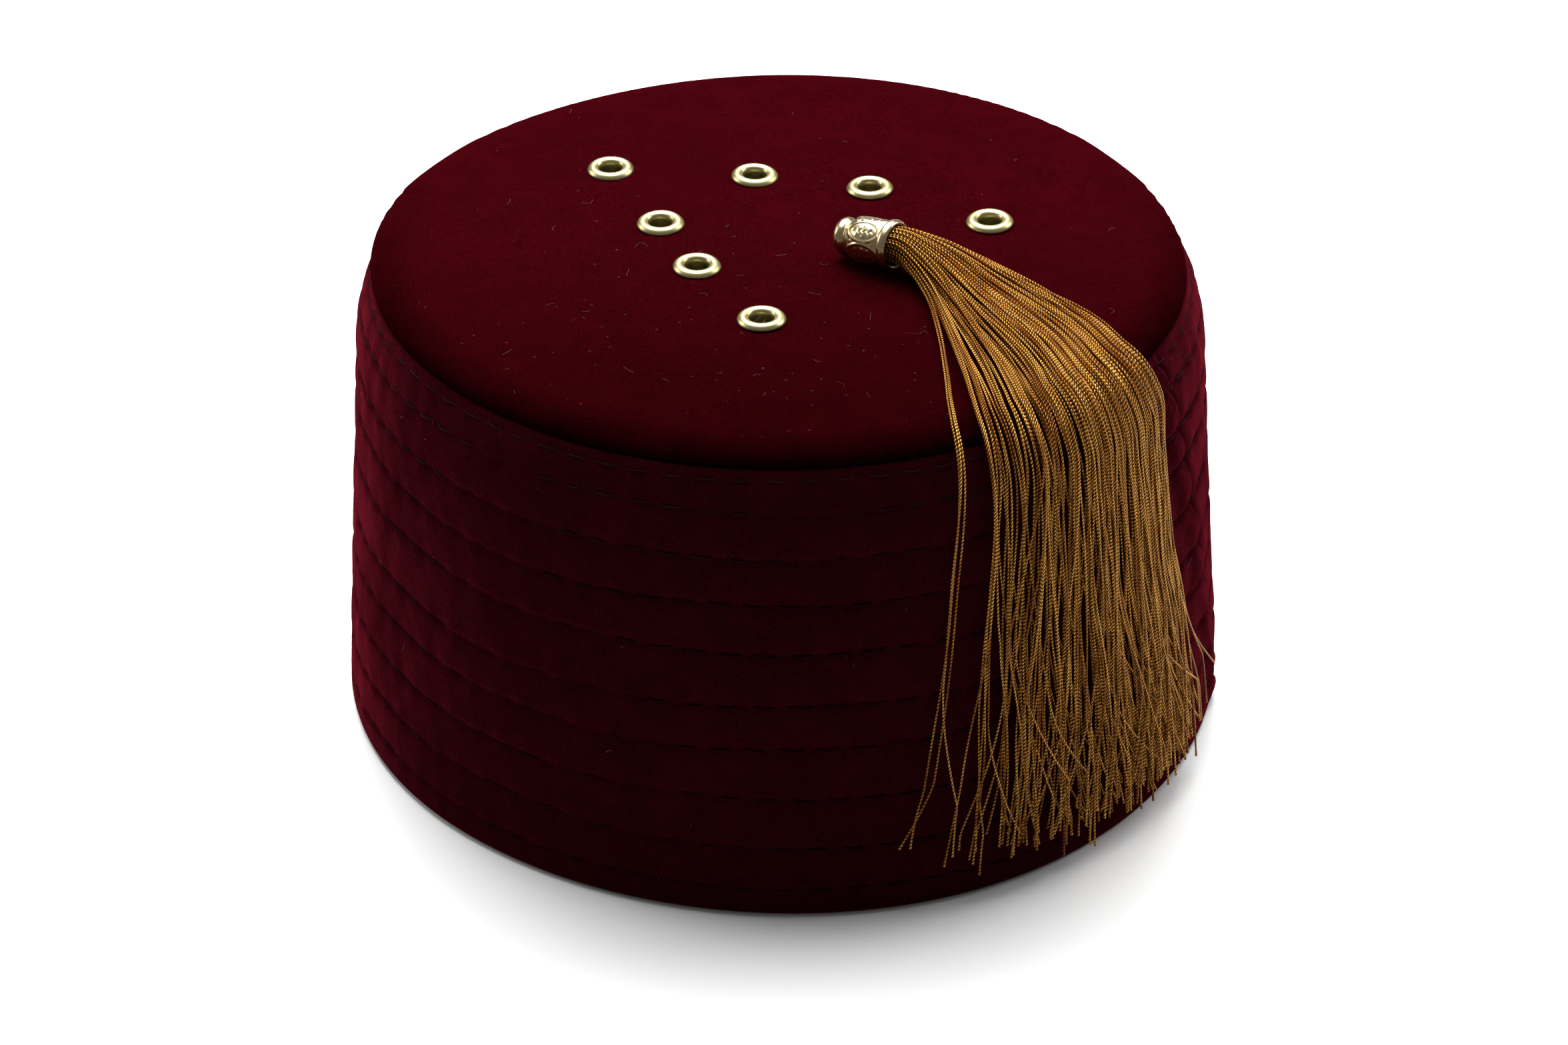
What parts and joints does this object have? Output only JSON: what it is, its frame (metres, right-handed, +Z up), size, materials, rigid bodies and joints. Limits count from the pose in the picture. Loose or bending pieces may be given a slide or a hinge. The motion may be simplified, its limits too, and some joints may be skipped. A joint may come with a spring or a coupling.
{
  "type": "fez hat",
  "caption": "Fez with a quilted velvet side band, a flat velvet crown with small brass eyelets set in a V, and a golden tassel that falls over its edge.",
  "frame": {"origin": "centre of the rim's bottom plane, on which the hat stands", "axes": "+Z up towards the crown, -Y the front, +X the right; the tassel falls over the front right edge"},
  "size_m": [0.1898, 0.1898, 0.1138],
  "materials": {
    "velvet": "dark crimson velvet pile",
    "eyelet_brass": "polished pale brass",
    "cap_metal": "polished pale gold plating, embossed",
    "tassel_thread": "lustrous twisted thread",
    "tie_thread": "matte sewing thread"
  },
  "bodies": {
    "root": {"side_band": "velvet", "crown": "velvet", "eyelet_1": "eyelet_brass", "eyelet_2": "eyelet_brass", "eyelet_3": "eyelet_brass", "eyelet_4": "eyelet_brass", "eyelet_5": "eyelet_brass", "eyelet_6": "eyelet_brass", "eyelet_7": "eyelet_brass", "tassel_cap": "cap_metal", "tassel_fringe": "tassel_thread", "tassel_tie": "tie_thread"}
  },
  "joints": []
}
